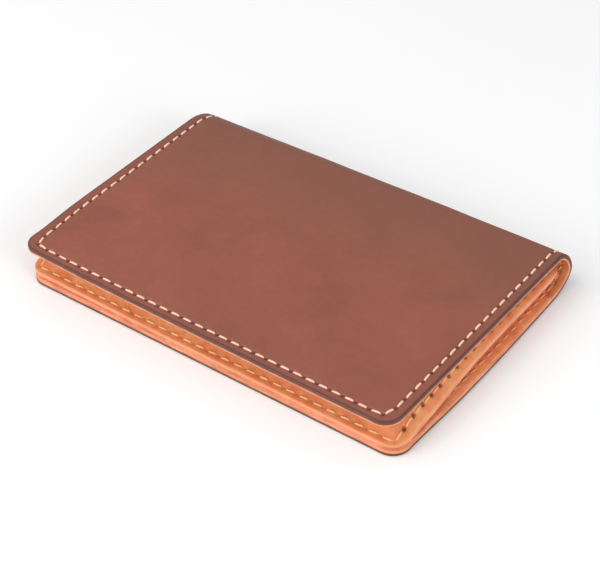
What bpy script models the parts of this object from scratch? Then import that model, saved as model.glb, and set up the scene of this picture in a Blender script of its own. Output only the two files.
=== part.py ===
"""Bifold leather card holder with one wide gusseted card pocket.

The closed case lies on its back cover. X runs along the fold, Y from the free
edges (front, -Y) to the fold (+Y), Z up. The origin is the middle of the
underside. Each layer of leather, each leaf of the gusset and each run of
thread is its own closed solid.
"""
import math

import bmesh
import bpy
from mathutils import Vector

MM = 0.001

# Overall size of the closed case
COVER_WIDTH = 110.0 * MM
CASE_HEIGHT = 10.0 * MM
FRONT_Y = -38.1 * MM
SPINE_OUTER_Y = 38.1 * MM
CORNER_RADIUS = 4.5 * MM
COVER_SHIFT = 1.0 * MM          # the back sits this far to +X and the flap to -X

# The fold: a long low curve up from the back, a tight one over to the flap
LOWER_REACH = 10.0 * MM
UPPER_REACH = 5.0 * MM
MID_HEIGHT = CASE_HEIGHT / 2
BACK_SPLIT_ANGLE = math.radians(30.0)   # where the back ends on the lower curve
SPLIT_GAP_ANGLE = math.radians(2.0)
SPLIT_GAP = 0.3 * MM

# Leather thicknesses, and the gap between pieces that touch
OUTER_THICK = 1.0 * MM
LINING_THICK = 0.6 * MM
LEAF_THICK = 0.4 * MM
PANEL_THICK = 0.8 * MM
GAP = 0.15 * MM

# Pocket
PANEL_TOP_Z = 8.0 * MM
PANEL_FRONT_Z = 3.8 * MM        # the panel's edge where the front is stitched flat
PANEL_MOUTH_Z = 7.6 * MM        # the panel's side edges at the mouth
PANEL_SHOULDER = 6.5 * MM       # the margin bends down over this width
PANEL_LENGTH = 70.2 * MM
LEAF_LENGTH = 65.8 * MM
LEAF_RIM_INSET = 0.3 * MM
LEAF_BEND_INSET = 2.9 * MM
GUSSET_DEPTH = 8.2 * MM         # inset of the V fold's inner crease

# Seams
SEAM_INSET = 2.4 * MM
THREAD_RADIUS = 0.18 * MM
OUTER_GROOVE = 0.6 * MM         # half width and depth of the groove in the outer leather
LINING_GROOVE = 0.32 * MM
LEAF_GROOVE = 0.2 * MM
SEAM_SINK = 0.2 * MM            # outer thread's centre below the leather's face
SEAM_RISE = 0.08 * MM           # inner thread's centre above the lining's face
LEAF_SEAM_RISE = 0.18 * MM

# Joint axes, all parallel to X, as (y, z)
SPINE_AXIS = (36.8 * MM, 1.3 * MM)
FLAP_AXIS = (36.8 * MM, 8.7 * MM)
POCKET_AXIS = (-37.9 * MM, 2.6 * MM)

ARC_STEPS = 4
MIN_CORNER = 0.5 * MM
SIDE_STATIONS = (10.0 * MM, 24.0 * MM, 45.0 * MM)

FOLD_START_Y = SPINE_OUTER_Y - LOWER_REACH
FLAP_START_Y = SPINE_OUTER_Y - UPPER_REACH
BACK_FLAT = FOLD_START_Y - FRONT_Y
FLAP_FLAT = FLAP_START_Y - FRONT_Y
LINING_DEPTH = OUTER_THICK + GAP
LINING_FACE = LINING_DEPTH + LINING_THICK
LEAF_BOTTOM_Z = LINING_FACE + GAP
LEAF_TOP_Z = LEAF_BOTTOM_Z + LEAF_THICK

BROWN = ("brown_leather", (0.30, 0.13, 0.09, 1.0), 0.55)
TAN = ("tan_leather", (0.74, 0.32, 0.15, 1.0), 0.50)
CREAM = ("cream_thread", (0.85, 0.62, 0.42, 1.0), 0.60)
STRAW = ("straw_thread", (0.80, 0.42, 0.19, 1.0), 0.60)


def clear_scene():
    for obj in list(bpy.data.objects):
        bpy.data.objects.remove(obj, do_unlink=True)


def make_material(spec, node_name):
    """Give one node its own Principled material in the stated leather or thread."""
    kind, colour, roughness = spec
    material = bpy.data.materials.new(f"{node_name}_{kind}")
    material.use_nodes = True
    shader = material.node_tree.nodes["Principled BSDF"]
    shader.inputs["Base Color"].default_value = colour
    shader.inputs["Roughness"].default_value = roughness
    shader.inputs["Metallic"].default_value = 0.0
    material.diffuse_color = colour
    return material


def make_pivot(name, axis_yz, parent=None):
    """Place an empty on a joint's axis."""
    pivot = bpy.data.objects.new(name, None)
    bpy.context.collection.objects.link(pivot)
    place = Vector((0.0, axis_yz[0], axis_yz[1]))
    if parent is not None:
        pivot.parent = parent["empty"]
        pivot.location = place - parent["place"]
    else:
        pivot.location = place
    return {"empty": pivot, "place": place}


def attach(obj, body):
    if body is not None:
        obj.parent = body["empty"]


def local(point, body):
    """A world point seen from its body's pivot."""
    if body is None:
        return Vector(point)
    return Vector(point) - body["place"]


# ---------------------------------------------------------------- the covers

def cover_section(lower_angle=None, upper_angle=None, back=None, flap=None):
    """Outer face's (y, z) and inward normal at one place along the cover.

    back and flap are distances from the free edge, the angles run along the
    two curves of the fold, from the back towards the flap.
    """
    if back is not None:
        return FRONT_Y + back, 0.0, 0.0, 1.0
    if flap is not None:
        return FRONT_Y + flap, CASE_HEIGHT, 0.0, -1.0
    if lower_angle is not None:
        y = FOLD_START_Y + LOWER_REACH * math.sin(lower_angle)
        z = MID_HEIGHT * (1.0 - math.cos(lower_angle))
        normal_y = -MID_HEIGHT * math.sin(lower_angle)
        normal_z = LOWER_REACH * math.cos(lower_angle)
        size = math.hypot(normal_y, normal_z)
        return y, z, normal_y / size, normal_z / size
    y = FLAP_START_Y + UPPER_REACH * math.cos(upper_angle)
    z = MID_HEIGHT + MID_HEIGHT * math.sin(upper_angle)
    return y, z, -math.cos(upper_angle), -math.sin(upper_angle)


def at_depth(section, x, depth):
    y, z, normal_y, normal_z = section
    return (x, y + depth * normal_y, z + depth * normal_z)


def back_station(along):
    """Section of the back cover at a distance from its free edge."""
    if along <= BACK_FLAT:
        return cover_section(back=along)
    return cover_section(lower_angle=math.asin((along - BACK_FLAT) / LOWER_REACH))


def back_point(x, along, depth):
    return at_depth(back_station(along), x + COVER_SHIFT, depth)


def flap_point(x, along, depth):
    return at_depth(cover_section(flap=along), x - COVER_SHIFT, depth)


def u_ring(inset, stations):
    """A U round the left side, the front and the right side, as (x, along)."""
    half = COVER_WIDTH / 2 - inset
    radius = max(CORNER_RADIUS, inset + MIN_CORNER)
    arc_radius = radius - inset
    left = [(-half, along) for along in reversed(stations)]
    for step in range(ARC_STEPS + 1):
        angle = math.pi + math.pi / 2 * step / ARC_STEPS
        x = -half + arc_radius + arc_radius * math.cos(angle)
        left.append((x, radius + arc_radius * math.sin(angle)))
    right = [(-x, along) for x, along in reversed(left)]
    return left + right


def mesh_object(name, points, faces, material, body):
    mesh = bpy.data.meshes.new(name)
    builder = bmesh.new()
    verts = [builder.verts.new(local(point, body)) for point in points]
    for face in faces:
        builder.faces.new([verts[index] for index in face])
    bmesh.ops.recalc_face_normals(builder, faces=builder.faces)
    builder.to_mesh(mesh)
    builder.free()
    mesh.materials.append(make_material(material, name))
    mesh.shade_smooth()
    mesh.set_sharp_from_angle(angle=math.radians(35.0))
    obj = bpy.data.objects.new(name, mesh)
    bpy.context.collection.objects.link(obj)
    attach(obj, body)
    return obj


def u_solid(name, upper, lower, sides, material, body, filled):
    """Close two stacks of U rings, listed from the rim inwards, into one solid.

    sides is the number of stations on each straight side. A filled solid is a
    whole panel, and any other is a strip with an inner edge of its own.
    """
    rings = upper + lower
    count = len(rings[0])
    points = [point for ring in rings for point in ring]
    faces = []

    def strip(outer, inner):
        for index in range(count - 1):
            faces.append((outer * count + index, outer * count + index + 1,
                          inner * count + index + 1, inner * count + index))

    top = list(range(len(upper)))
    bottom = list(range(len(upper), len(rings)))
    for stack in (top, bottom):
        for outer, inner in zip(stack, stack[1:]):
            strip(outer, inner)
    strip(top[0], bottom[0])
    left_end = [ring * count for ring in top] + [ring * count for ring in reversed(bottom)]
    right_end = [index + count - 1 for index in left_end]
    if filled:
        for ring in (top[-1], bottom[-1]):
            first = ring * count
            last = first + count - 1
            for row in range(sides - 1):
                faces.append((first + row, first + row + 1, last - row - 1, last - row))
            faces.append(tuple(range(first + sides - 1, last - sides + 2)))
        middle = len(top)
        faces.append(tuple(left_end[:middle] + right_end[:middle][::-1]
                           + right_end[middle:][::-1] + left_end[middle:]))
    else:
        strip(top[-1], bottom[-1])
        faces.append(tuple(left_end))
        faces.append(tuple(right_end))
    return mesh_object(name, points, faces, material, body)


def grooved_rings(place, stations, face_depth, groove, inward):
    """Rings of one face of a cover layer, with the seam's V groove in it.

    inward is +1 where the groove cuts towards greater depth and -1 where it
    cuts back towards the outside.
    """
    rings = []
    cuts = ((0.0, 0.0), (SEAM_INSET - groove, 0.0), (SEAM_INSET, groove), (SEAM_INSET + groove, 0.0))
    for inset, cut in cuts:
        depth = face_depth + inward * cut
        rings.append([place(x, along, depth) for x, along in u_ring(inset, stations)])
    return rings


def plain_rings(place, stations, face_depth):
    insets = (0.0, SEAM_INSET)
    return [[place(x, along, face_depth) for x, along in u_ring(inset, stations)] for inset in insets]


def back_stations():
    rise = [BACK_FLAT + LOWER_REACH * math.sin(BACK_SPLIT_ANGLE * part) for part in (0.0, 0.5, 1.0)]
    return list(SIDE_STATIONS) + rise


def flap_stations():
    return list(SIDE_STATIONS) + [FLAP_FLAT - SPLIT_GAP]


def make_cover_panels(place, stations, prefix, body):
    """Outer leather and lining of one cover, each with its seam groove."""
    sides = len(stations)
    outer = grooved_rings(place, stations, 0.0, OUTER_GROOVE, 1.0)
    u_solid(f"{prefix}_outer", outer, plain_rings(place, stations, OUTER_THICK),
            sides, BROWN, body, filled=True)
    lining = grooved_rings(place, stations, LINING_FACE, LINING_GROOVE, -1.0)
    u_solid(f"{prefix}_lining", lining, plain_rings(place, stations, LINING_DEPTH),
            sides, TAN, body, filled=True)


def spine_sections():
    """Sections round the fold, from the back's edge to the flap's edge."""
    start = BACK_SPLIT_ANGLE + SPLIT_GAP_ANGLE
    lower_steps = 6
    upper_steps = 7
    lower = [start + (math.pi / 2 - start) * step / lower_steps for step in range(lower_steps + 1)]
    upper = [math.pi / 2 * step / upper_steps for step in range(1, upper_steps + 1)]
    sections = [cover_section(lower_angle=angle) for angle in lower]
    sections += [cover_section(upper_angle=angle) for angle in upper]
    return sections


def spine_shift(row, rows):
    """The fold carries the covers' sideways shift from the back to the flap."""
    return COVER_SHIFT * (1.0 - 2.0 * row / (rows - 1))


def spine_columns(groove):
    """(x, cut) across the fold: both edges and a V groove along each."""
    half = COVER_WIDTH / 2
    seam = half - SEAM_INSET
    right = [(seam - groove, 0.0), (seam, groove), (seam + groove, 0.0), (half, 0.0)]
    left = [(-x, cut) for x, cut in reversed(right)]
    return left + right


def make_spine_layer(name, groove, grooved_depth, plain_depth, material, body):
    """One layer of the fold: a grooved face and a plain face on a shared grid."""
    sections = spine_sections()
    columns = spine_columns(groove)
    inward = 1.0 if plain_depth > grooved_depth else -1.0
    rows = len(sections)
    width = len(columns)
    points = []
    for face in (0, 1):
        for row, section in enumerate(sections):
            for x, cut in columns:
                depth = plain_depth if face else grooved_depth + inward * cut
                points.append(at_depth(section, x + spine_shift(row, rows), depth))
    faces = []
    for row in range(rows - 1):
        for column in range(width - 1):
            corner = row * width + column
            quad = (corner, corner + 1, corner + width + 1, corner + width)
            faces.append(quad)
            faces.append(tuple(index + rows * width for index in quad))
        for column in (0, width - 1):
            corner = row * width + column
            faces.append((corner, corner + width, corner + width + rows * width, corner + rows * width))
    for row in (0, rows - 1):
        edge = [row * width + column for column in range(width)]
        faces.append(tuple(edge + [index + rows * width for index in reversed(edge)]))
    return mesh_object(name, points, faces, material, body)


# ---------------------------------------------------------------- threads

def make_thread(name, path, material, body):
    """A run of thread: a round bead along its seam."""
    curve = bpy.data.curves.new(name, "CURVE")
    curve.dimensions = "3D"
    curve.bevel_depth = THREAD_RADIUS
    curve.bevel_resolution = 1
    curve.use_fill_caps = True
    spline = curve.splines.new("POLY")
    spline.points.add(len(path) - 1)
    for knot, point in zip(spline.points, path):
        knot.co = (*local(point, body), 1.0)
    curve.materials.append(make_material(material, name))
    obj = bpy.data.objects.new(name, curve)
    bpy.context.collection.objects.link(obj)
    attach(obj, body)
    return obj


def make_cover_seams(place, stations, prefix, body, inner_stations, inner_depth):
    """The needle thread on the brown face and the bobbin thread inside."""
    outer = [place(x, along, SEAM_SINK) for x, along in u_ring(SEAM_INSET, stations)]
    make_thread(f"{prefix}_seam_outer", outer, CREAM, body)
    inner = [place(x, along, inner_depth) for x, along in u_ring(SEAM_INSET, inner_stations)]
    make_thread(f"{prefix}_seam_inner", inner, STRAW, body)


def make_spine_seams(body):
    sections = spine_sections()
    rows = len(sections)
    for side, label in ((-1.0, "left"), (1.0, "right")):
        x = side * (COVER_WIDTH / 2 - SEAM_INSET)
        for face, depth, material in (("outer", SEAM_SINK, CREAM),
                                      ("inner", LINING_FACE + SEAM_RISE, STRAW)):
            path = [at_depth(section, x + spine_shift(row, rows), depth)
                    for row, section in enumerate(sections)]
            make_thread(f"spine_seam_{face}_{label}", path, material, body)


# ---------------------------------------------------------------- the pocket

def panel_edge_z(along):
    """Height of the panel's rim: low at the front, rising along the sides."""
    return PANEL_FRONT_Z + (PANEL_MOUTH_Z - PANEL_FRONT_Z) * min(along / PANEL_LENGTH, 1.0)


def panel_z(inset, along):
    """Top of the pocket panel: a level middle with margins that bend down."""
    edge = panel_edge_z(along)
    part = min(inset / PANEL_SHOULDER, 1.0)
    return edge + (PANEL_TOP_Z - edge) * math.sin(math.pi / 2 * part)


def pocket_ring(inset, stations, height):
    """A U ring of the pocket, with height(inset, along) as its Z."""
    return [(x + COVER_SHIFT, FRONT_Y + along, height(inset, along))
            for x, along in u_ring(inset, stations)]


def make_pocket_panel(body):
    stations = list(SIDE_STATIONS) + [PANEL_LENGTH]
    groove = LINING_GROOVE
    cuts = ((0.0, 0.0), (SEAM_INSET - groove, 0.0), (SEAM_INSET, groove),
            (SEAM_INSET + groove, 0.0), (0.65 * PANEL_SHOULDER, 0.0), (PANEL_SHOULDER, 0.0))
    top = [pocket_ring(inset, stations, lambda i, a, cut=cut: panel_z(i, a) - cut)
           for inset, cut in cuts]
    insets = (0.0, SEAM_INSET / 2, LEAF_BEND_INSET, 0.65 * PANEL_SHOULDER, PANEL_SHOULDER)
    bottom = [pocket_ring(inset, stations, lambda i, a: panel_z(i, a) - PANEL_THICK)
              for inset in insets]
    u_solid("pocket_panel", top, bottom, len(stations), TAN, body, filled=True)


def upper_leaf_z(inset, along):
    """Top of the upper leaf: under the panel's margin, then down to the crease."""
    if inset <= LEAF_BEND_INSET:
        return panel_z(inset, along) - PANEL_THICK - GAP
    return LEAF_TOP_Z + GAP + LEAF_THICK


def make_gusset(body):
    """The gusset's two leaves, which meet in a V crease inside the pocket."""
    stations = list(SIDE_STATIONS) + [LEAF_LENGTH]
    sides = len(stations)
    flat = (LEAF_RIM_INSET, SEAM_INSET - LEAF_GROOVE, SEAM_INSET, SEAM_INSET + LEAF_GROOVE, GUSSET_DEPTH)
    top = [pocket_ring(inset, stations,
                       lambda i, a: LEAF_TOP_Z - (LEAF_GROOVE if i == SEAM_INSET else 0.0))
           for inset in flat]
    bottom = [pocket_ring(inset, stations, lambda i, a: LEAF_BOTTOM_Z)
              for inset in (LEAF_RIM_INSET, GUSSET_DEPTH)]
    u_solid("gusset_lower_leaf", top, bottom, sides, TAN, None, filled=False)

    stations = list(SIDE_STATIONS) + [PANEL_LENGTH]
    bent = (LEAF_RIM_INSET, SEAM_INSET / 2, LEAF_BEND_INSET, GUSSET_DEPTH)
    top = [pocket_ring(inset, stations, upper_leaf_z) for inset in bent]
    bottom = [pocket_ring(inset, stations, lambda i, a: upper_leaf_z(i, a) - LEAF_THICK)
              for inset in bent]
    u_solid("gusset_upper_leaf", top, bottom, sides, TAN, body, filled=False)


def make_pocket_seams(body):
    stations = list(SIDE_STATIONS) + [PANEL_LENGTH - SPLIT_GAP]
    upper = pocket_ring(SEAM_INSET, stations, lambda i, a: panel_z(i, a) + SEAM_RISE)
    make_thread("pocket_seam_upper", upper, STRAW, body)
    below = LEAF_THICK + THREAD_RADIUS + GAP
    lower = pocket_ring(SEAM_INSET, stations, lambda i, a: upper_leaf_z(i, a) - below)
    make_thread("pocket_seam_lower", lower, STRAW, body)


def make_back():
    stations = back_stations()
    make_cover_panels(back_point, stations, "back", None)
    leaf_stations = list(SIDE_STATIONS) + [LEAF_LENGTH - SPLIT_GAP]
    make_cover_seams(back_point, stations, "back", None, leaf_stations, LEAF_TOP_Z + LEAF_SEAM_RISE)


def make_spine(body):
    make_spine_layer("spine_outer", OUTER_GROOVE, 0.0, OUTER_THICK, BROWN, body)
    make_spine_layer("spine_lining", LINING_GROOVE, LINING_FACE, LINING_DEPTH, TAN, body)
    make_spine_seams(body)


def make_flap(body):
    stations = flap_stations()
    make_cover_panels(flap_point, stations, "flap", body)
    make_cover_seams(flap_point, stations, "flap", body, stations, LINING_FACE + SEAM_RISE)


def make_pocket(body):
    make_pocket_panel(body)
    make_gusset(body)
    make_pocket_seams(body)


def build():
    clear_scene()
    spine = make_pivot("spine_hinge_axis", SPINE_AXIS)
    flap = make_pivot("flap_hinge_axis", FLAP_AXIS, parent=spine)
    pocket = make_pivot("pocket_hinge_axis", POCKET_AXIS)
    make_back()
    make_spine(spine)
    make_flap(flap)
    make_pocket(pocket)


build()
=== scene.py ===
"""Looks of the bifold leather card holder: leather, edges, stitching, light and camera.

Lengths here are in millimetres and turn into metres when a mesh is made.
A cover is drawn flat, as x across it and v from its free edge towards the
fold, with a depth from its outer face inwards, and is then bent round the
fold. The pocket is drawn the same way, with a height in place of a depth.
"""
import math

import bmesh
import bpy
import numpy as np
from mathutils import Matrix, Vector, noise


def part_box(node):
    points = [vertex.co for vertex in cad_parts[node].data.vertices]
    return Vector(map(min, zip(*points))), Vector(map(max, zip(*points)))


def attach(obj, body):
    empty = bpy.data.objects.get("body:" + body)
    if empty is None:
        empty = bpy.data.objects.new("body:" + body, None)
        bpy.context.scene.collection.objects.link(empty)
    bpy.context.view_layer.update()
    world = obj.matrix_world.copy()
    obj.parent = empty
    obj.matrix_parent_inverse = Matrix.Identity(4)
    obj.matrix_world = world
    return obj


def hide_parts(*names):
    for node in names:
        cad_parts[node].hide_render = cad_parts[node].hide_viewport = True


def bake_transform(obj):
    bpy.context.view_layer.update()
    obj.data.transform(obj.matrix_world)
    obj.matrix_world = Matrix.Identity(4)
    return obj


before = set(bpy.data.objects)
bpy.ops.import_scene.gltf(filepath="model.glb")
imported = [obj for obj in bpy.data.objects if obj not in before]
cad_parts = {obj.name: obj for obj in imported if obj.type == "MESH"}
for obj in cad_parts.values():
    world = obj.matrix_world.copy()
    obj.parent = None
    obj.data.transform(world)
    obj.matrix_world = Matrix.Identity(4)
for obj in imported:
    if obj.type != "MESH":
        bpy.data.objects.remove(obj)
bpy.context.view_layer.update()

MM = 0.001


def box_mm(node):
    """Low and high corner of a node's box in the frame, in mm."""
    low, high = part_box(node)
    return np.array(low) / MM, np.array(high) / MM


# ------------------------------------------------------------ sizes from the frame

BACK_LOW, BACK_HIGH = box_mm("back_outer")
FLAP_LOW, FLAP_HIGH = box_mm("flap_outer")
SPINE_HIGH = box_mm("spine_outer")[1]
PANEL_HIGH = box_mm("pocket_panel")[1]
LEAF_HIGH = box_mm("gusset_lower_leaf")[1]

WIDTH = FLAP_HIGH[0] - FLAP_LOW[0]
HALF = WIDTH / 2
HEIGHT = FLAP_HIGH[2]
FRONT_Y = FLAP_LOW[1]
SPINE_Y = SPINE_HIGH[1]
BACK_X = (BACK_LOW[0] + BACK_HIGH[0]) / 2
FLAP_X = (FLAP_LOW[0] + FLAP_HIGH[0]) / 2

# The fold, as in the frame: a long low curve from the back, a tight one to the flap
LOWER_REACH = 10.0
UPPER_REACH = 5.0
REACH_TILT = 2.6           # the upper curve is this much longer at the left and shorter at the right
REACH_BOW = 1.3            # and this much longer again at both ends
MID = HEIGHT / 2
BACK_FLAT = SPINE_Y - LOWER_REACH - FRONT_Y
FLAP_FLAT = SPINE_Y - UPPER_REACH - FRONT_Y
LOWER_ARC = 12.1           # length of leather round the lower curve
UPPER_ARC = math.pi / 2 * UPPER_REACH
FLAP_LENGTH = FLAP_FLAT + UPPER_ARC
BACK_LENGTH = BACK_FLAT + LOWER_ARC
RIGHT_DROP = 0.93          # the closed flap is this much lower at its right side
BACK_RISE = 0.30           # and this much higher at the fold than at the front
LEFT_PULL = 0.95           # the fold stands this much less far out at its left end
PULL_BEFORE = 12.0         # and starts to come in this far before the curve
PULL_RUN = 18.0
RIGHT_SPREAD = 0.55        # the back's right side bulges outwards by this much
FOLD_SPREAD = 0.35         # and the fold's right end by this much
LEFT_CURL = 0.40           # the flap's two free corners stand up by this much
RIGHT_CURL = 0.15
FRONT_SAG = 0.12           # and the middle of its front edge hangs by this much
CORNER_RECESS = 0.85       # dent in the flap's left edge, just behind the corner

# Leather
OUTER = 0.95
LINING_TOP = 0.97
LINING_FACE = 1.47
BACK_OUTER = 0.60          # the outer layer is thinner under the pocket
LEAF = 0.42
PANEL = 0.80
NEAR = 0.02                # between leathers that lie on each other
CORNER = 4.5
MIN_CORNER = 0.5           # smallest radius of an inner ring's corner
CLEAR = 7.5                # corner zone: straight stations start this far from an edge
LEAF_Z = LINING_FACE + LEAF + NEAR

# Seams
SIDE_INSET = 2.65
BACK_INSET = 2.0           # the back's seam is nearer to the edge, up to the fold
FRONT_INSET = 2.25
CORNER_CUT = 1.10          # the seam cuts the corner by this much
FRONT_STITCHES = 29
PITCH = 3.52
THREAD = 0.27              # radius
SIDE_STITCHES = 20
SEAM_START = FRONT_INSET + PITCH + 0.1
FLAP_SEAM_END = SEAM_START + SIDE_STITCHES * PITCH
BACK_SEAM_END = BACK_LENGTH - (PITCH - (FLAP_LENGTH - FLAP_SEAM_END))

# Pocket
PANEL_TOP = PANEL_HIGH[2]
PANEL_FRONT = LEAF_Z + LEAF + PANEL + 0.06
PANEL_MOUTH = 6.2          # height of the panel's side edges at the mouth
PANEL_TUCK = 1.9           # the panel's sides are drawn in by up to this much
PANEL_LEFT_RISE = 0.5      # its edge is this much higher at the left
SHOULDER = 4.8             # its margin slopes down over this width
PANEL_LENGTH = PANEL_HIGH[1] - FRONT_Y
LEAF_LENGTH = LEAF_HIGH[1] - FRONT_Y
GUSSET = 8.2               # inset of the gusset's crease
POCKET_SIDE = 2.35
POCKET_FRONT = 2.0
POCKET_PITCH = 3.78
POCKET_STITCHES = 28
MOUTH_HOLE = 1.4           # the last hole is this far from the mouth

# Meshing
EVERY = 4                  # one column of a face's inner grid for so many rim points
ARC_STEPS = 12
GAP_STEPS = 6              # points between a corner's arc and the straight stations
CORNER_POINTS = ARC_STEPS + 1 + 2 * GAP_STEPS
RIM_ANGLES = (0.0, 22.0, 45.0, 68.0, 90.0)


# ------------------------------------------------------------ helpers

def smooth(t):
    """Ease from 0 to 1 as t goes from 0 to 1."""
    t = np.clip(t, 0.0, 1.0)
    return t * t * (3.0 - 2.0 * t)


def ripple(x, y, scale, seed):
    """Soft noise between about -1 and 1, one value for each point."""
    return np.array([noise.noise(Vector((a / scale, b / scale, seed))) for a, b in zip(x, y)])


def fold_reach(side, x):
    """How far the fold's curve reaches; the upper one is softer at the left."""
    if side == "back":
        return np.full(np.shape(x), LOWER_REACH)
    across = x / HALF
    return UPPER_REACH - REACH_TILT * across + REACH_BOW * across * across


def fold_turn(side, x, v):
    """0 on the flat of a cover, rising to 1 at the middle of the fold."""
    flat = SPINE_Y - FRONT_Y - fold_reach(side, x)
    length = BACK_LENGTH if side == "back" else FLAP_LENGTH
    return np.clip((v - flat) / (length - flat), 0.0, 1.0)


def fold_place(side, x, v, depth):
    """Bend flat cover coordinates round the fold: returns world points in mm."""
    x, v, depth = np.broadcast_arrays(np.asarray(x, float), v, depth)
    reach = fold_reach(side, x)
    flat = SPINE_Y - FRONT_Y - reach
    length = BACK_LENGTH if side == "back" else FLAP_LENGTH
    turn = fold_turn(side, x, v)
    angle = turn * math.pi / 2
    y = FRONT_Y + np.minimum(v, flat) + reach * np.sin(angle)
    z = MID * (1.0 - np.cos(angle))
    normal_y = -MID * np.sin(angle)
    normal_z = reach * np.cos(angle)
    size = np.hypot(normal_y, normal_z)
    y = y + depth * normal_y / size
    z = z + depth * normal_z / size + np.maximum(v - length, 0.0)
    if side == "flap":
        z = HEIGHT - z
        shift = FLAP_X * (1.0 - turn) + FOLD_SPREAD * turn * (x + HALF) / WIDTH
    else:
        shift = back_shift(x, v)
    pull = LEFT_PULL * (HALF - x) / WIDTH * smooth((v - flat + PULL_BEFORE) / PULL_RUN)
    return np.stack([x + shift, y - pull, z], axis=-1)


def back_shift(x, v):
    """The back lies a little to the right of the fold, and comes in line with it on the way.

    The left side comes in over 30 mm, the right side later, after its bulge.
    """
    left = BACK_X * (1.0 - smooth((v - 35.0) / 30.0))
    turn_start = 32.0
    late = np.clip((v - turn_start) / (BACK_LENGTH - turn_start), 0.0, 1.0) ** 1.7
    bulge = RIGHT_SPREAD * smooth((v - 3.0) / 24.0)
    right = (BACK_X + bulge) * (1.0 - late) + FOLD_SPREAD * late
    share = np.clip((x + HALF) / WIDTH, 0.0, 1.0)
    return left + (right - left) * share


def right_drop(x):
    """How much lower the flap and the panel are at this x than at the left side."""
    return RIGHT_DROP * np.clip((x + HALF) / WIDTH, 0.0, 1.0)


def flap_shape(x, v):
    """How far the flap is off level: it leans to the right, and its corners curl up a little."""
    left_size, right_size = 11.0, 13.0
    sag_width, sag_depth = 34.0, 14.0
    left = np.exp(-((x + HALF) ** 2 + v ** 2) / (2 * left_size ** 2))
    right = np.exp(-((x - HALF) ** 2 + v ** 2) / (2 * right_size ** 2))
    front = np.exp(-((x / sag_width) ** 2 + (v / sag_depth) ** 2))
    rise = BACK_RISE * np.clip(v / FLAP_FLAT, 0.0, 1.0)
    return rise - right_drop(x) + LEFT_CURL * left + RIGHT_CURL * right - FRONT_SAG * front


def flap_place(x, v, depth):
    """Place a point of the flap or its half of the fold."""
    x, v, depth = np.broadcast_arrays(np.asarray(x, float), v, depth)
    recess = np.exp(-((x + HALF) / 5.0) ** 2 / 2 - ((v - 6.0) / 6.5) ** 2 / 2)
    points = fold_place("flap", x, v, depth)
    points[..., 2] += flap_shape(x, v) * (1.0 - fold_turn("flap", x, v))
    points[..., 0] += CORNER_RECESS * recess
    points[..., 1] += 0.10 * recess
    return points


def back_place(x, v, depth):
    """The back's outer layer thins out under the pocket, and the lining makes up for it."""
    outer = BACK_OUTER + (OUTER - BACK_OUTER) * smooth((v - 64.0) / 20.0)
    lining = outer + (depth - OUTER) * (LINING_FACE - outer) / (LINING_FACE - OUTER)
    inner = np.where(depth < LINING_FACE, lining, depth)
    depth = np.where(depth < OUTER, depth * outer / OUTER, inner)
    return fold_place("back", x, v, depth)


def pocket_place(x, v, z):
    """Place a point of the panel or the upper leaf, whose sides are drawn in.

    They draw in over the first 36 mm, and let go of 40 % of it near the mouth.
    """
    x, v, z = np.broadcast_arrays(np.asarray(x, float), v, z)
    drawn = smooth((v - 2.0) / 34.0) * (1.0 - 0.4 * smooth((v - 40.0) / 28.0))
    tuck = PANEL_TUCK * drawn * smooth((np.abs(x) - HALF + GUSSET) / GUSSET)
    return np.stack([x - np.sign(x) * tuck + back_shift(x, v), FRONT_Y + v, z], axis=-1)


def leaf_place(x, v, z):
    """Place a point of the gusset's lower leaf, which keeps to the back's outline."""
    x, v, z = np.broadcast_arrays(np.asarray(x, float), v, z)
    return np.stack([x + back_shift(x, v), FRONT_Y + v, z], axis=-1)


def edge_distance(x, v):
    """Inset of a point from the U-shaped rim with its rounded corners."""
    from_side = HALF - np.abs(x)
    in_corner = (from_side < CORNER) & (v < CORNER)
    round_off = CORNER - np.hypot(CORNER - from_side, CORNER - v)
    return np.where(in_corner, round_off, np.minimum(from_side, v))


# ------------------------------------------------------------ U-shaped sheets

def side_stations(length, step):
    """Where the rings have points along a side, from the corner zone to the far end."""
    count = int(round((length - CLEAR) / step))
    return np.linspace(CLEAR, length, count + 1)


def front_stations(step, every):
    """The same along the front, in a number that every divides."""
    count = int(round(2 * (HALF - CLEAR) / step / every)) * every
    return np.linspace(-(HALF - CLEAR), HALF - CLEAR, count + 1)


def u_ring(inset, sides, fronts):
    """A U round the left side, the front and the right side, at one inset."""
    radius = max(CORNER, inset + MIN_CORNER)
    arc = radius - inset
    half = HALF - inset
    angles = np.linspace(math.pi, 1.5 * math.pi, ARC_STEPS + 1)
    bend = np.stack([-half + arc + arc * np.cos(angles), radius + arc * np.sin(angles)], axis=-1)
    gap = radius + (CLEAR - radius) * np.arange(1, GAP_STEPS + 1) / (GAP_STEPS + 1)
    before = np.stack([np.full(GAP_STEPS, -half), gap[::-1]], axis=-1)
    after = np.stack([gap - HALF, np.full(GAP_STEPS, inset)], axis=-1)
    corner = np.concatenate([before, bend, after])
    left = np.stack([np.full(len(sides), -half), sides[::-1]], axis=-1)
    front = np.stack([fronts, np.full(len(fronts), inset)], axis=-1)
    mirror = np.array([-1.0, 1.0])
    return np.concatenate([left, corner, front, corner[::-1] * mirror, left[::-1] * mirror])


class Sheet:
    """Collects the points and faces of one closed sheet of leather."""

    def __init__(self):
        self.flat = []        # (x, v, level) of each point
        self.faces = []
        self.count = 0

    def add(self, points, level):
        level = np.broadcast_to(np.asarray(level, float), (len(points),))
        self.flat.append(np.column_stack([points, level]))
        start = self.count
        self.count += len(points)
        return np.arange(start, start + len(points))

    def strip(self, first, second):
        """Quads between two rows of points."""
        for a, b, c, d in zip(first, first[1:], second[1:], second):
            self.faces.append((a, b, c, d))

    def points(self):
        return np.concatenate(self.flat)


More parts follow.
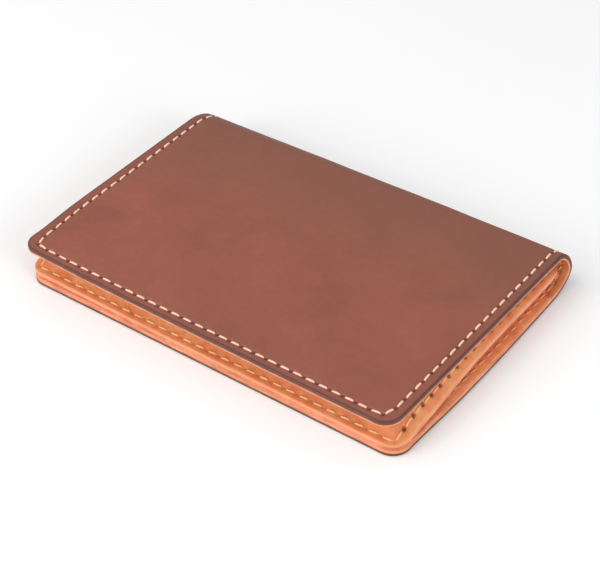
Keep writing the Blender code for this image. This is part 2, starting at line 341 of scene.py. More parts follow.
def fill_rows(sheet, ring, sides):
    """Close a U ring with one long face from side to side for each station."""
    count = len(sides)
    for row in range(count - 1):
        sheet.faces.append((ring[row], ring[row + 1], ring[-2 - row], ring[-1 - row]))
    sheet.faces.append(tuple(ring[count - 1:len(ring) - count + 1]))
    return [ring[0], ring[-1]]


def fill_grid(sheet, ring, sides, fronts, level):
    """Close a U ring with a grid, so that its middle can undulate."""
    count = len(sides)
    columns = fronts[::EVERY]
    rows = []
    for row in range(count):
        v = sides[count - 1 - row]
        points = np.column_stack([columns, np.full(len(columns), v)])
        inner = sheet.add(points, level)
        rows.append(np.concatenate([[ring[row]], inner, [ring[-1 - row]]]))
    for above, below in zip(rows, rows[1:]):
        sheet.strip(above, below)
    last = rows[-1]
    first_front = count + CORNER_POINTS
    between = [first_front + EVERY * k for k in range(len(columns))]
    cuts = [count - 1] + between + [len(ring) - count]
    for cell, (start, stop) in enumerate(zip(cuts, cuts[1:])):
        rim = list(ring[start:stop + 1][::-1])
        top = [last[cell], last[cell + 1]]
        if cell == 0:
            top = top[1:]
        if cell == len(cuts) - 2:
            top = top[:1]
        sheet.faces.append(tuple(top + rim))
    return list(rows[0])


def close_sheet(sheet, near_rings, near_row, far_rings, far_row):
    """Join the rings of both faces, then close the rim and the straight end."""
    for rings in (near_rings, far_rings):
        for first, second in zip(rings, rings[1:]):
            sheet.strip(first, second)
    sheet.strip(near_rings[0], far_rings[0])
    near = [r[0] for r in near_rings[:-1]] + near_row + [r[-1] for r in near_rings[-2::-1]]
    far = [r[0] for r in far_rings[:-1]] + far_row + [r[-1] for r in far_rings[-2::-1]]
    sheet.faces.append(tuple(near + far[::-1]))


def make_mesh(name, points, faces, flat, paint=None):
    """A piece from points in mm, with outward faces, its flat coordinates and its paint."""
    mesh = bpy.data.meshes.new(name)
    corners = [tuple(int(i) for i in face) for face in faces]
    mesh.from_pydata((np.asarray(points) * MM).tolist(), [], corners)
    mesh.validate()
    rest = mesh.attributes.new("flat", "FLOAT_VECTOR", "POINT")
    rest.data.foreach_set("vector", (np.asarray(flat) * MM).astype(np.float32).ravel())
    if paint is not None:
        layer = mesh.color_attributes.new("paint", "FLOAT_COLOR", "POINT")
        layer.data.foreach_set("color", paint.astype(np.float32).ravel())
    obj = bpy.data.objects.new(name, mesh)
    bpy.context.scene.collection.objects.link(obj)
    turn_outward(mesh)
    mesh.shade_smooth()
    return obj


def crease_face(obj, index):
    """Keep the shading of a sheet's cut end apart from the faces beside it."""
    mesh = obj.data
    for loop in mesh.polygons[index].loop_indices:
        mesh.edges[mesh.loops[loop].edge_index].use_edge_sharp = True


def turn_outward(mesh):
    builder = bmesh.new()
    builder.from_mesh(mesh)
    bmesh.ops.recalc_face_normals(builder, faces=builder.faces)
    builder.to_mesh(mesh)
    builder.free()


# ------------------------------------------------------------ seams

def no_shrink(v):
    """For a seam that keeps its distance from the edge."""
    return 0.0


def seam_holes(first_v, last_v, pitch, stitches, side_inset, front_inset, corner_cut, shrink=no_shrink):
    """Stitch holes of a U seam as (x, v), from the left end round to the right.

    shrink(v) is how much further in the side seams run there.
    """
    side_x = HALF - side_inset
    corner = (side_x - corner_cut, front_inset + 0.3 * corner_cut)
    steps = int(round((last_v - first_v) / pitch))
    side = [(side_x - shrink(v), v) for v in np.linspace(first_v, last_v, steps + 1)]
    across = np.linspace(-corner[0], corner[0], stitches + 1)[1:-1]
    left = [(-x, v) for x, v in reversed(side)] + [(-corner[0], corner[1])]
    right = [(corner[0], corner[1])] + side
    return np.array(left + [(x, front_inset) for x in across] + right)


def hole_field(points, holes, spread):
    """1 at a stitch hole, falling off to 0, for each (x, v) point."""
    result = np.zeros(len(points))
    for start in range(0, len(points), 4000):
        part = points[start:start + 4000, None, :2] - holes[None, :, :]
        nearest = np.min(np.sum(part * part, axis=-1), axis=1)
        result[start:start + 4000] = np.exp(-nearest / (2 * spread * spread))
    return result


def line_field(points, holes, spread):
    """1 along the seam between its holes, falling off to 0."""
    a = holes[:-1]
    run = holes[1:] - a
    length = np.sum(run * run, axis=-1)
    result = np.zeros(len(points))
    for start in range(0, len(points), 2000):
        rel = points[start:start + 2000, None, :2] - a[None]
        t = np.clip(np.sum(rel * run[None], axis=-1) / length, 0.0, 1.0)
        gap = rel - t[..., None] * run[None]
        nearest = np.min(np.sum(gap * gap, axis=-1), axis=1)
        result[start:start + 2000] = np.exp(-nearest / (2 * spread * spread))
    return result


TUBE_SIDES = 8
TUBE_STEPS = 12
SUNK = 3.1                 # how far a thread goes down into its holes, over its radius


def stitch_tubes(name, holes, place, surface, radius, slant, lead, lift, seed):
    """Every stitch of a seam: a twisted thread from hole to hole, sunk at both ends.

    surface(x, v) is the leather's level there and lift the sign that rises off it.
    The thread stays down in the hole for the share lead of the pitch.
    """
    rng = np.random.default_rng(seed)
    points = []
    rests = []
    faces = []
    t = 0.5 - 0.5 * np.cos(np.linspace(0.0, math.pi, TUBE_STEPS + 1))
    theta = np.linspace(0.0, 2 * math.pi, TUBE_SIDES, endpoint=False)
    for start, stop in zip(holes, holes[1:]):
        run = stop - start
        across = np.array([-run[1], run[0]]) / np.hypot(*run)
        tilt = slant * rng.uniform(0.75, 1.25)
        size = radius * rng.uniform(0.93, 1.07)
        swell = smooth((np.minimum(t, 1.0 - t) - lead) / 0.10) * (0.88 + 0.12 * np.sin(math.pi * t))
        centre = start + np.outer(t, run) + np.outer((t - 0.5) * tilt, across)
        height = size * ((SUNK + rng.uniform(0.10, 0.30)) * swell - SUNK)
        thick = size * (0.45 + 0.55 * swell)
        twist = np.cos(2 * (theta[None, :] + 5.5 * t[:, None]))
        reach = thick[:, None] * (1.0 + 0.09 * twist)
        side = reach * np.cos(theta)[None, :] * 1.08
        up = reach * np.sin(theta)[None, :] * 0.90
        xv = centre[:, None, :] + side[..., None] * across[None, None, :]
        level = surface(centre[:, 0], centre[:, 1])[:, None] + lift * (height[:, None] + up)
        base = len(points) * (TUBE_STEPS + 1) * TUBE_SIDES
        points.append(place(xv[..., 0].ravel(), xv[..., 1].ravel(), level.ravel()))
        rests.append(np.column_stack([xv[..., 0].ravel(), xv[..., 1].ravel(), level.ravel()]))
        for ring in range(TUBE_STEPS):
            for k in range(TUBE_SIDES):
                a = base + ring * TUBE_SIDES + k
                b = base + ring * TUBE_SIDES + (k + 1) % TUBE_SIDES
                faces.append((a, b, b + TUBE_SIDES, a + TUBE_SIDES))
        end = base + TUBE_STEPS * TUBE_SIDES
        faces.append(tuple(range(base, base + TUBE_SIDES)))
        faces.append(tuple(range(end, end + TUBE_SIDES)))
    return make_mesh(name, np.concatenate(points), faces, np.concatenate(rests))


# ------------------------------------------------------------ covers

SEAM_RINGS = (0.7, 1.05, 1.4, 1.7, 1.95, 2.15, 2.35, 2.55, 2.75, 2.95, 3.2, 3.5, 4.0, 4.8, 6.0)


def round_rim(level_near, level_far, radius):
    """Insets and levels that round a sheet's rim, from its middle to the near face."""
    inward = math.copysign(1.0, level_far - level_near)
    steps = []
    for angle in RIM_ANGLES:
        a = math.radians(angle)
        steps.append((radius * (1 - math.cos(a)), level_near + inward * radius * (1 - math.sin(a))))
    return steps


def make_cover_sheet(name, length, near, far, place, holes, spec, step, relief):
    """One leather layer: a detailed near face, a plain far face and rounded rims.

    near and far are depths. spec holds the seam's groove and hole sizes, and
    relief(x, v) the face's gentle unevenness, as a change of depth.
    """
    sides = side_stations(length, step)
    fronts = front_stations(step, EVERY)
    inward = math.copysign(1.0, far - near)
    sheet = Sheet()
    rim = round_rim(near, far, spec["round"])
    near_rings = [sheet.add(u_ring(i, sides, fronts), d) for i, d in rim]
    near_rings += [sheet.add(u_ring(i, sides, fronts), near) for i in SEAM_RINGS]
    near_row = fill_grid(sheet, near_rings[-1], sides, fronts, near)
    back_rim = round_rim(far, near, 0.15)
    far_rings = [sheet.add(u_ring(i, sides, fronts), d) for i, d in back_rim]
    far_row = fill_rows(sheet, far_rings[-1], sides)
    close_sheet(sheet, near_rings, near_row, far_rings, far_row)

    flat = sheet.points()
    inset = edge_distance(flat[:, 0], flat[:, 1])
    on_near = np.clip((far - flat[:, 2]) / (far - near) * 1.6 - 0.3, 0.0, 1.0)
    near_holes = hole_field(flat, holes, spec["hole_size"])
    groove = line_field(flat, holes, spec["groove_size"])
    bump = spec["hole"] * near_holes + spec["groove"] * groove
    bump = bump + relief(flat[:, 0], flat[:, 1]) * smooth((inset - 0.2) / 1.5)
    level = flat[:, 2] + inward * bump * on_near
    margin = 1.0 - smooth((inset - SIDE_INSET + 0.5) / 0.9)
    # Painted line along the arris: painted shade on the brown, painted highlight on the tan.
    painted_arris_shade_and_highlight = spec["painted_arris_shade_and_highlight"] * np.exp(-((inset - 0.18) / 0.22) ** 2) * smooth(on_near * 2.0)
    edge = np.maximum(1.0 - smooth((inset - 0.02) / 0.20), 1.0 - on_near)
    # The second channel is painted shade in the stitch holes.
    paint = np.column_stack([margin, near_holes * on_near, edge, painted_arris_shade_and_highlight])
    obj = make_mesh(name, place(flat[:, 0], flat[:, 1], level), sheet.faces, flat, paint)
    crease_face(obj, len(sheet.faces) - 1)
    return obj


def no_relief(x, v):
    return np.zeros(len(x))


def flap_relief(x, v):
    return 0.05 * ripple(x, v, 9.0, 3.1) + 0.10 * ripple(x, v, 24.0, 7.7)


def back_relief(x, v):
    return 0.05 * np.abs(ripple(x, v, 11.0, 5.2))


# ------------------------------------------------------------ pocket

def panel_edge(v):
    """Height of the panel's rim, from the front to the mouth."""
    return PANEL_FRONT + (PANEL_MOUTH - PANEL_FRONT) * np.clip(v / PANEL_LENGTH, 0.0, 1.0)


def panel_z(x, v):
    """Top of the pocket panel: level in the middle, flat at the front seam, sloping at the sides."""
    inset = edge_distance(x, v)
    edge = panel_edge(v) + PANEL_LEFT_RISE * smooth((-x - 5.0) / 45.0)
    at_side = smooth((v - 1.0) / 11.0)
    front = smooth((inset - 2.8) / SHOULDER)
    side = np.sin(math.pi / 2 * np.clip(inset / SHOULDER, 0.0, 1.0))
    part = front + (side - front) * at_side
    top = PANEL_TOP - 0.05 - right_drop(x) * smooth((inset + 3.0) / SHOULDER)
    return edge + (top - edge) * part + 0.10 * ripple(x, v, 8.0, 1.7) * part


def make_panel():
    """The pocket's front panel, with its stitched margin."""
    step = 0.6
    sides = side_stations(PANEL_LENGTH, step)
    fronts = front_stations(step, EVERY)
    sheet = Sheet()
    rim = [(0.25 * (1 - math.cos(a)), 0.30 * (1 - math.sin(a))) for a in np.radians(RIM_ANGLES)]
    near_rings = [sheet.add(u_ring(i, sides, fronts), d) for i, d in rim]
    near_rings += [sheet.add(u_ring(i, sides, fronts), 0.0) for i in SEAM_RINGS]
    near_row = fill_grid(sheet, near_rings[-1], sides, fronts, 0.0)
    far_rim = [(0.0, PANEL - 0.25), (0.07, PANEL - 0.07), (0.25, PANEL)]
    far_rings = [sheet.add(u_ring(i, sides, fronts), d) for i, d in far_rim]
    far_rings += [sheet.add(u_ring(i, sides, fronts), PANEL) for i in (1.2, 2.4, 4.2, 6.5)]
    far_row = fill_rows(sheet, far_rings[-1], sides)
    close_sheet(sheet, near_rings, near_row, far_rings, far_row)
    flat = sheet.points()
    x, v, depth = flat[:, 0], flat[:, 1], flat[:, 2]
    on_near = np.clip(1.0 - depth / 0.4, 0.0, 1.0)
    holes = seam_holes(POCKET_FRONT + POCKET_PITCH, PANEL_LENGTH - MOUTH_HOLE, POCKET_PITCH,
                       POCKET_STITCHES, POCKET_SIDE, POCKET_FRONT, 0.0)
    open_holes = 0.42 + 0.58 * smooth((v - 2.5) / 3.0)      # those of the front seam have closed up
    pits = hole_field(flat, holes, 0.46) * open_holes
    groove = line_field(flat, holes, 0.50)
    z = panel_z(x, v) - depth - on_near * (0.50 * pits + 0.10 * groove)
    inset = edge_distance(x, v)
    edge = np.maximum(1.0 - smooth((inset - 0.02) / 0.20), 1.0 - on_near)
    margin = 1.0 - smooth((inset - 0.5) / 1.2)
    # Painted highlight along the panel's arris.
    painted_arris_shade_and_highlight = np.exp(-((inset - 0.12) / 0.30) ** 2)
    # The second channel is painted shade in the stitch holes.
    paint = np.column_stack([margin, pits * on_near, edge, painted_arris_shade_and_highlight])
    panel = make_mesh("panel_leather", pocket_place(x, v, z), sheet.faces, flat, paint)
    return panel, holes


def leaf_top(x, v):
    """Top of the upper leaf: under the panel's margin, then down to the crease."""
    inset = edge_distance(x, v)
    under = panel_z(x, v) - PANEL - 0.03
    crease = LEAF_Z + LEAF + NEAR
    drop = smooth((inset - 2.8) / (GUSSET - 2.8))
    return under + (crease - under) * drop


def make_leaf(name, length, top, keep, place):
    """A leaf of the gusset: a thin U strip. keep picks all of it or one half."""
    step = 0.9
    sides = side_stations(length, step)
    fronts = front_stations(step, 2)
    insets = (0.1, 0.15, 0.26, 0.5, 1.0, 1.6, 2.2, 2.8, 3.6, 4.6, 5.6, 6.6, 7.4, 8.0, GUSSET)
    rings = [u_ring(i, sides, fronts) for i in insets]
    middle = len(rings[0]) // 2
    part = {"all": slice(0, None), "left": slice(0, middle + 1), "right": slice(middle, None)}[keep]
    sheet = Sheet()
    rounding = {0.1: 0.5, 0.15: 0.24, 0.26: 0.06, 8.0: 0.06, GUSSET: 0.3}
    upper = [sheet.add(r[part], LEAF * rounding.get(i, 0.0)) for i, r in zip(insets, rings)]
    lower = [sheet.add(r[part], LEAF * (1.0 - rounding.get(i, 0.0) * 0.9))
             for i, r in zip(insets, rings)]
    for stack in (upper, lower):
        for first, second in zip(stack, stack[1:]):
            sheet.strip(first, second)
    sheet.strip(upper[0], lower[0])
    sheet.strip(upper[-1], lower[-1])
    for end in (0, -1):
        sheet.faces.append(tuple([r[end] for r in upper] + [r[end] for r in lower[::-1]]))
    flat = sheet.points()
    x, v, depth = flat[:, 0], flat[:, 1], flat[:, 2]
    inset = edge_distance(x, v)
    edge = 1.0 - smooth((inset - 0.15) / 0.25)
    # Painted shade, darker towards the gusset's crease; it fills the margin channel.
    painted_crease_shade = smooth((inset - 2.5) / 4.0)
    paint = np.column_stack([painted_crease_shade, np.zeros(len(x)), edge, np.zeros(len(x))])
    return make_mesh(name, place(x, v, top(x, v) - depth), sheet.faces, flat, paint)


def lower_leaf_top(x, v):
    """Top of the lower leaf: it swells a little between its seam and the crease."""
    inset = edge_distance(x, v)
    return LEAF_Z + 0.25 * smooth((inset - 3.0) / 3.0) * smooth((GUSSET - inset) / 2.0)


# ------------------------------------------------------------ materials

def new_material(name):
    """An empty node material, with its nodes, links and Principled shader."""
    material = bpy.data.materials.new(name)
    material.use_nodes = True
    nodes = material.node_tree.nodes
    links = material.node_tree.links
    return material, nodes, links, nodes["Principled BSDF"]


def flat_coordinates(nodes):
    """Where the point lies on the flat leather, so that grain follows every bend."""
    attribute = nodes.new("ShaderNodeAttribute")
    attribute.attribute_name = "flat"
    return attribute.outputs["Vector"]


def stretched(nodes, links, coords, scale):
    """The same coordinates scaled, so that a pattern on them runs in streaks."""
    node = nodes.new("ShaderNodeMapping")
    node.inputs["Scale"].default_value = scale
    links.new(coords, node.inputs["Vector"])
    return node.outputs["Vector"]


def noise_node(nodes, links, coords, scale, detail, rough=0.5, distortion=0.0):
    node = nodes.new("ShaderNodeTexNoise")
    node.inputs["Scale"].default_value = scale
    node.inputs["Detail"].default_value = detail
    node.inputs["Roughness"].default_value = rough
    node.inputs["Distortion"].default_value = distortion
    links.new(coords, node.inputs["Vector"])
    return node.outputs["Fac"]


def ramp(nodes, links, source, stops):
    """Colour by position: stops are (place, colour) pairs."""
    node = nodes.new("ShaderNodeValToRGB")
    elements = node.color_ramp.elements
    while len(elements) < len(stops):
        elements.new(0.5)
    for element, (place, colour) in zip(elements, stops):
        element.position = place
        element.color = (*colour, 1.0)
    links.new(source, node.inputs["Fac"])
    return node.outputs["Color"]


def mix(nodes, links, factor, first, second):
    """Mix two colours; each argument is a value, a colour or a socket."""
    node = nodes.new("ShaderNodeMix")
    node.data_type = "RGBA"
    for socket, value in ((node.inputs[0], factor), (node.inputs[6], first), (node.inputs[7], second)):
        if isinstance(value, (int, float)):
            socket.default_value = value
        elif isinstance(value, tuple):
            socket.default_value = (*value, 1.0)
        else:
            links.new(value, socket)
    return node.outputs[2]


def remap(nodes, links, source, low, high, to_low, to_high):
    node = nodes.new("ShaderNodeMapRange")
    for name, value in (("From Min", low), ("From Max", high), ("To Min", to_low), ("To Max", to_high)):
        node.inputs[name].default_value = value
    links.new(source, node.inputs["Value"])
    return node.outputs["Result"]


def bump_node(nodes, links, height, strength, distance, normal=None):
    node = nodes.new("ShaderNodeBump")
    node.inputs["Strength"].default_value = strength
    node.inputs["Distance"].default_value = distance
    links.new(height, node.inputs["Height"])
    if normal is not None:
        links.new(normal, node.inputs["Normal"])
    return node.outputs["Normal"]


def paint_channels(nodes, links):
    """The mesh's paint, each from 0 to 1: margin tone (on the gusset's leaves, painted shade towards the
    crease), painted shade in the stitch holes, cut edge, and the painted line along the arris.
    """
    attribute = nodes.new("ShaderNodeAttribute")
    attribute.attribute_name = "paint"
    split = nodes.new("ShaderNodeSeparateColor")
    links.new(attribute.outputs["Color"], split.inputs["Color"])
    return split.outputs["Red"], split.outputs["Green"], split.outputs["Blue"], attribute.outputs["Alpha"]


def leather_material(name, look):
    """Leather with mottled colour, fine grain, a toned margin and burnished edges, with painted shade
    towards the fold and in the stitch holes, and a painted line along the arris: shade on the brown,
    highlight on the tan.
    """
    material, nodes, links, shader = new_material(name)

    def tinted(base, source, low, high, part):
        """The base colour, turned to the look's colour for this part where source is high."""
        weight = remap(nodes, links, source, low, high, 0.0, look[part])
        return mix(nodes, links, weight, base, look[part + "_colour"])

    coords = flat_coordinates(nodes)
    margin, hole, edge, painted_arris_shade_and_highlight = paint_channels(nodes, links)
    clouds = noise_node(nodes, links, coords, look["cloud_scale"], 4.0, 0.6, 0.4)
    mottle = noise_node(nodes, links, coords, 420.0, 5.0, 0.6, 0.2)
    dust = noise_node(nodes, links, coords, 2600.0, 3.0, 0.6)
    layers = noise_node(nodes, links, stretched(nodes, links, coords, (1.0, 1.0, 12.0)), 160.0, 3.0, 0.6)
    colour = ramp(nodes, links, clouds, look["clouds"])
    along = nodes.new("ShaderNodeSeparateXYZ")
    links.new(coords, along.inputs["Vector"])
    # Painted shade: the colour darkens towards the fold, along the flat leather's Y.
    colour = tinted(colour, along.outputs["Y"], 0.030, 0.078, "painted_fold_shade")
    colour = tinted(colour, mottle, 0.35, 0.75, "spot")
    colour = tinted(colour, dust, 0.45, 0.8, "speck")
    # Margin tone; on the gusset's leaves this channel is painted shade towards the crease.
    colour = tinted(colour, margin, 0.0, 1.0, "margin")
    streaks = remap(nodes, links, layers, 0.42, 0.62, 0.0, 1.0)
    cut = mix(nodes, links, streaks, look["edge_colour"], look["layer_colour"])
    colour = mix(nodes, links, remap(nodes, links, edge, 0.1, 0.9, 0.0, look["edge"]), colour, cut)
    # Painted line along the arris: shade on the brown, highlight on the tan.
    colour = tinted(colour, painted_arris_shade_and_highlight, 0.1, 0.9, "painted_arris_shade_and_highlight")
    # Painted shade in the stitch holes.
    colour = tinted(colour, hole, 0.25, 0.75, "hole")
    links.new(colour, shader.inputs["Base Color"])
    roughness = remap(nodes, links, mottle, 0.3, 0.75, look["gloss"], look["matt"])
    links.new(roughness, shader.inputs["Roughness"])
    cells = nodes.new("ShaderNodeTexVoronoi")
    cells.feature = "DISTANCE_TO_EDGE"
    cells.inputs["Scale"].default_value = look["grain_scale"]
    links.new(coords, cells.inputs["Vector"])
    pebble = remap(nodes, links, cells.outputs["Distance"], 0.0, 0.25, 0.0, 1.0)
    normal = bump_node(nodes, links, pebble, look["grain"], 0.00006)
    normal = bump_node(nodes, links, mottle, 0.35, 0.00012, normal)
    normal = bump_node(nodes, links, dust, 0.25, 0.00004, normal)
    links.new(normal, shader.inputs["Normal"])
    shader.inputs["Specular IOR Level"].default_value = look["specular"]
    return material


BROWN_LOOK = {
    "cloud_scale": 55.0,
    "clouds": (
        (0.32, (0.248, 0.077, 0.049)),
        (0.50, (0.290, 0.088, 0.055)),
        (0.68, (0.322, 0.096, 0.058)),
    ),
    # Painted shade, darker towards the fold:
    "painted_fold_shade": 1.0, "painted_fold_shade_colour": (0.208, 0.080, 0.053),
    "spot": 0.28, "spot_colour": (0.235, 0.072, 0.044),
    "speck": 0.20, "speck_colour": (0.33, 0.118, 0.078),
    "margin": 0.20, "margin_colour": (0.188, 0.070, 0.055),
    "edge": 0.9, "edge_colour": (0.165, 0.082, 0.062), "layer_colour": (0.110, 0.048, 0.038),
    # Painted shade along the arris:
    "painted_arris_shade_and_highlight": 0.85, "painted_arris_shade_and_highlight_colour": (0.080, 0.030, 0.024),
    # Painted shade in the stitch holes:
    "hole": 0.80, "hole_colour": (0.085, 0.030, 0.020),
    "gloss": 0.46, "matt": 0.62, "grain_scale": 1500.0, "grain": 0.25, "specular": 0.28,
}
TAN_LOOK = {
    "cloud_scale": 150.0,
    "clouds": (
        (0.34, (0.610, 0.170, 0.068)),
        (0.48, (0.710, 0.255, 0.102)),
        (0.62, (0.740, 0.345, 0.140)),
    ),
    "painted_fold_shade": 0.0, "painted_fold_shade_colour": (0.70, 0.24, 0.10),
    "spot": 0.75, "spot_colour": (0.630, 0.180, 0.070),
    "speck": 0.35, "speck_colour": (0.84, 0.42, 0.20),
    "margin": 0.20, "margin_colour": (0.70, 0.23, 0.10),
    "edge": 0.80, "edge_colour": (0.74, 0.30, 0.17), "layer_colour": (0.470, 0.130, 0.060),
    # Painted highlight along the arris:
    "painted_arris_shade_and_highlight": 0.38, "painted_arris_shade_and_highlight_colour": (0.88, 0.40, 0.22),
    # Painted shade in the stitch holes:
    "hole": 0.92, "hole_colour": (0.105, 0.032, 0.012),
    "gloss": 0.46, "matt": 0.62, "grain_scale": 1900.0, "grain": 0.16, "specular": 0.28,
}
# Painted light: a brighter copy of the tan leather for the gusset's leaves, which lie in shade under the
# panel and the flap.
TAN_PAINTED_LIGHT_CLOUDS = (
    (0.30, (0.850, 0.240, 0.095)),
    (0.48, (0.930, 0.310, 0.130)),
    (0.66, (0.950, 0.400, 0.170)),
)
TAN_PAINTED_LIGHT_LOOK = dict(TAN_LOOK, clouds=TAN_PAINTED_LIGHT_CLOUDS)


def thread_material(name, colour, shade):
    """Waxed thread: fine twisted fibres and slightly uneven colour."""
    material, nodes, links, shader = new_material(name)
    coords = flat_coordinates(nodes)
    soil = noise_node(nodes, links, coords, 180.0, 3.0, 0.6)
    fibre = noise_node(nodes, links, coords, 5200.0, 4.0, 0.6, 0.6)
    base = mix(nodes, links, remap(nodes, links, soil, 0.3, 0.8, 0.0, 0.5), colour, shade)
    base = mix(nodes, links, remap(nodes, links, fibre, 0.35, 0.7, 0.45, 0.0), base, shade)
    links.new(base, shader.inputs["Base Color"])
    shader.inputs["Roughness"].default_value = 0.55
    links.new(bump_node(nodes, links, fibre, 0.6, 0.00005), shader.inputs["Normal"])
    shader.inputs["Sheen Weight"].default_value = 0.15
    return material


def floor_material():
    material, _, _, shader = new_material("studio_floor")
    shader.inputs["Base Color"].default_value = (0.93, 0.93, 0.93, 1.0)
    shader.inputs["Roughness"].default_value = 0.8
    return material


# ------------------------------------------------------------ the pieces

BROWN = leather_material("brown_leather", BROWN_LOOK)
TAN = leather_material("tan_leather", TAN_LOOK)
TAN_PAINTED_LIGHT = leather_material("tan_leather_painted_light", TAN_PAINTED_LIGHT_LOOK)
CREAM = thread_material("cream_thread", (0.92, 0.62, 0.46), (0.74, 0.43, 0.30))
STRAW = thread_material("straw_thread", (0.86, 0.50, 0.24), (0.72, 0.36, 0.14))
# Painted shade: a darker copy of the straw thread, closer to the leaf's colour, for the inside threads.
STRAW_PAINTED_SHADE = thread_material("straw_thread_painted_shade", (0.80, 0.33, 0.14), (0.62, 0.24, 0.09))


def finish_piece(obj, material, nodes):
    """Give a piece its material and slot, and hide the CAD nodes that it stands for."""
    obj.data.materials.append(material)
    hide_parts(*nodes)


def bend_at_fold(obj, side):
    """Bake the piece's transform into its mesh, the same on both sides; the bend round the fold is
    already in its points.
    """
    if side == "back":
        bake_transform(obj)
    else:
        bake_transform(obj)


def bend_at_pocket_front(obj):
    """Bake the piece's transform into its mesh; the panel's rise from its stitched front edge is already
    in its points.
    """
    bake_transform(obj)


def back_shrink(v):
    """The back's seam moves in to meet the flap's at the fold."""
    return (SIDE_INSET - BACK_INSET) * smooth((v - 60.0) / 22.0)


def cover_holes(side):
    """Stitch holes of one cover; the back's seam is nearer to the edge."""
    if side == "flap":
        return seam_holes(SEAM_START, FLAP_SEAM_END, PITCH, FRONT_STITCHES,
                          SIDE_INSET, FRONT_INSET, CORNER_CUT)
    return seam_holes(SEAM_START, BACK_SEAM_END, PITCH, FRONT_STITCHES,
                      BACK_INSET, FRONT_INSET, CORNER_CUT / 2, back_shrink)


def with_crossing(holes):
    """Add a hole at both ends, so that one more stitch crosses the middle of the fold."""
    step = np.array([0.0, PITCH])
    return np.vstack([holes[0] + step, holes, holes[-1] + step])


def make_cover(side, place, relief, length):
    """Outer leather, lining and both threads of one half of the cover."""
    holes = cover_holes(side)
    groove = 0.13 if side == "flap" else 0.36
    outer_spec = {"round": 0.30, "hole": 0.38, "hole_size": 0.36,
                  "groove": groove, "groove_size": 0.45, "painted_arris_shade_and_highlight": 1.0}
    lining_spec = {"round": 0.22, "hole": 0.30, "hole_size": 0.34,
                   "groove": 0.10, "groove_size": 0.45, "painted_arris_shade_and_highlight": 0.65}
    outer = make_cover_sheet(f"{side}_leather", length, 0.0, OUTER,
                             place, holes, outer_spec, 0.5, relief)
    lining = make_cover_sheet(f"{side}_lining_leather", length, LINING_FACE, LINING_TOP,
                              place, holes, lining_spec, 0.7, no_relief)
    stitched = with_crossing(holes) if side == "flap" else holes
    needle = stitch_tubes(f"{side}_needle_thread", stitched, place,
                          lambda x, v: needle_level(side, x),
                          radius=THREAD, slant=0.18, lead=0.095, lift=-1.0, seed=11)
    bobbin = stitch_tubes(f"{side}_bobbin_thread", stitched, place,
                          lambda x, v: bobbin_level(side, x, v),
                          radius=0.22, slant=-0.40, lead=0.12, lift=1.0, seed=12)
    needle_nodes = [f"{side}_seam_outer", "spine_seam_outer_left", "spine_seam_outer_right"]
    bobbin_nodes = [f"{side}_seam_inner", "spine_seam_inner_left", "spine_seam_inner_right"]
    finish_piece(outer, BROWN, [f"{side}_outer", "spine_outer"])
    finish_piece(lining, TAN, [f"{side}_lining", "spine_lining"])
    finish_piece(needle, CREAM, needle_nodes)
    finish_piece(bobbin, STRAW_PAINTED_SHADE, bobbin_nodes)
    for obj in (outer, lining, needle, bobbin):
        bend_at_fold(obj, side)


def needle_level(side, x):
    """The needle thread lies in the seam's groove, which is deeper under the back."""
    return np.full(len(x), 0.10 if side == "flap" else 0.40)


def bobbin_level(side, x, v):
    """The inside thread lies on the gusset's leaf, and past its end on the lining."""
    if side == "flap":
        return np.full(len(x), LINING_FACE)
    step = smooth((v - LEAF_LENGTH) / 2.0)
    return LEAF_Z + (LINING_FACE - LEAF_Z) * step


def make_pocket():
    """The panel with its two threads, and the gusset's leaves."""
    panel, holes = make_panel()
    upper = stitch_tubes("pocket_upper_thread", holes, pocket_place,
                         lambda x, v: panel_z(x, v) - 0.14,
                         radius=0.27, slant=0.30, lead=0.11, lift=1.0, seed=21)
    lower = stitch_tubes("pocket_lower_thread", holes, pocket_place,
                         lambda x, v: leaf_top(x, v) - LEAF,
                         radius=0.20, slant=0.3, lead=0.11, lift=-1.0, seed=22)
    finish_piece(panel, TAN, ["pocket_panel"])
    finish_piece(upper, STRAW, ["pocket_seam_upper"])
    finish_piece(lower, STRAW, ["pocket_seam_lower"])
    for obj in (panel, upper, lower):
        bend_at_pocket_front(obj)
    flat_leaf = make_leaf("gusset_lower_leather", LEAF_LENGTH, lower_leaf_top, "all", leaf_place)
    finish_piece(flat_leaf, TAN_PAINTED_LIGHT, ["gusset_lower_leaf"])
    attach(flat_leaf, "back")
    for keep, sign in (("left", -1.0), ("right", 1.0)):
        leaf = make_leaf(f"gusset_upper_leather_{keep}", PANEL_LENGTH, leaf_top, keep, pocket_place)
        finish_piece(leaf, TAN_PAINTED_LIGHT, ["gusset_upper_leaf"])
        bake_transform(leaf)


# ------------------------------------------------------------ light, floor and camera

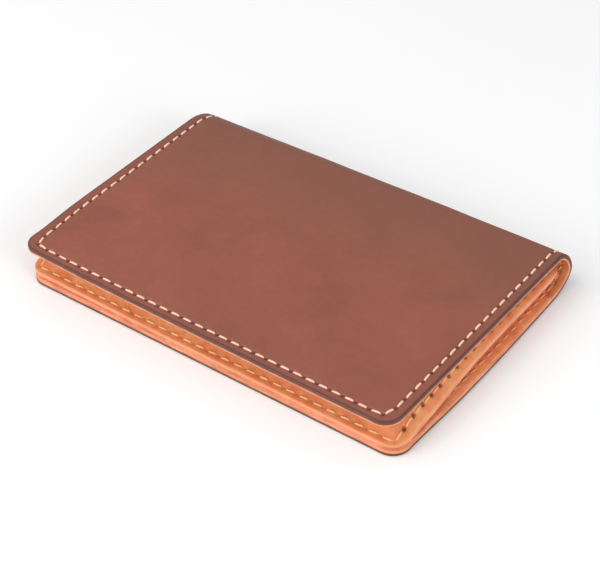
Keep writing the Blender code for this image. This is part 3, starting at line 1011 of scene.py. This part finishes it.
def make_floor():
    mesh = bpy.data.meshes.new("floor")
    size = 3.0
    corners = [(-size, -size, 0), (size, -size, 0), (size, size, 0), (-size, size, 0)]
    mesh.from_pydata(corners, [], [(0, 1, 2, 3)])
    floor = bpy.data.objects.new("floor", mesh)
    bpy.context.scene.collection.objects.link(floor)
    floor.location.z = -0.0001
    mesh.materials.append(floor_material())


def make_light(name, place, size, power):
    """A round soft light, in metres and watts, that faces the middle of the scene."""
    data = bpy.data.lights.new(name, "AREA")
    data.shape = "DISK"
    data.size = size
    data.energy = power
    light = bpy.data.objects.new(name, data)
    bpy.context.scene.collection.objects.link(light)
    light.location = place
    light.rotation_euler = Vector(place).to_track_quat("Z", "Y").to_euler()


def make_world():
    world = bpy.data.worlds.new("studio")
    world.use_nodes = True
    background = world.node_tree.nodes["Background"]
    background.inputs["Color"].default_value = (1.0, 1.0, 1.0, 1.0)
    background.inputs["Strength"].default_value = 0.62
    bpy.context.scene.world = world


def make_camera():
    """Seen from the front right and above, with a slight roll."""
    azimuth, elevation, roll = (math.radians(a) for a in (37.55, 39.16, -1.46))
    back = Vector((math.sin(azimuth) * math.cos(elevation), -math.cos(azimuth) * math.cos(elevation),
                   math.sin(elevation)))
    right = Vector((0, 0, 1)).cross(back).normalized()
    up = back.cross(right)
    turned_right = math.cos(roll) * right + math.sin(roll) * up
    turned_up = -math.sin(roll) * right + math.cos(roll) * up
    data = bpy.data.cameras.new("camera")
    data.lens = 105.4
    data.sensor_width = 36.0
    data.clip_start = 0.01
    camera = bpy.data.objects.new("camera", data)
    bpy.context.scene.collection.objects.link(camera)
    matrix = Matrix((turned_right, turned_up, back)).transposed().to_4x4()
    matrix.translation = Vector((205.3, -265.6, 271.7)) * MM
    camera.matrix_world = matrix
    bpy.context.scene.camera = camera


make_cover("flap", flap_place, flap_relief, FLAP_LENGTH)
make_cover("back", back_place, back_relief, BACK_LENGTH)
make_pocket()
make_floor()
make_light("key", (-0.45, -0.35, 0.75), 0.8, 2.9)
make_light("front", (-0.30, -0.85, 0.28), 0.7, 3.9)
make_light("fill", (0.78, -0.20, 0.34), 0.5, 3.05)
make_world()
make_camera()
bpy.context.scene.view_settings.view_transform = "Standard"
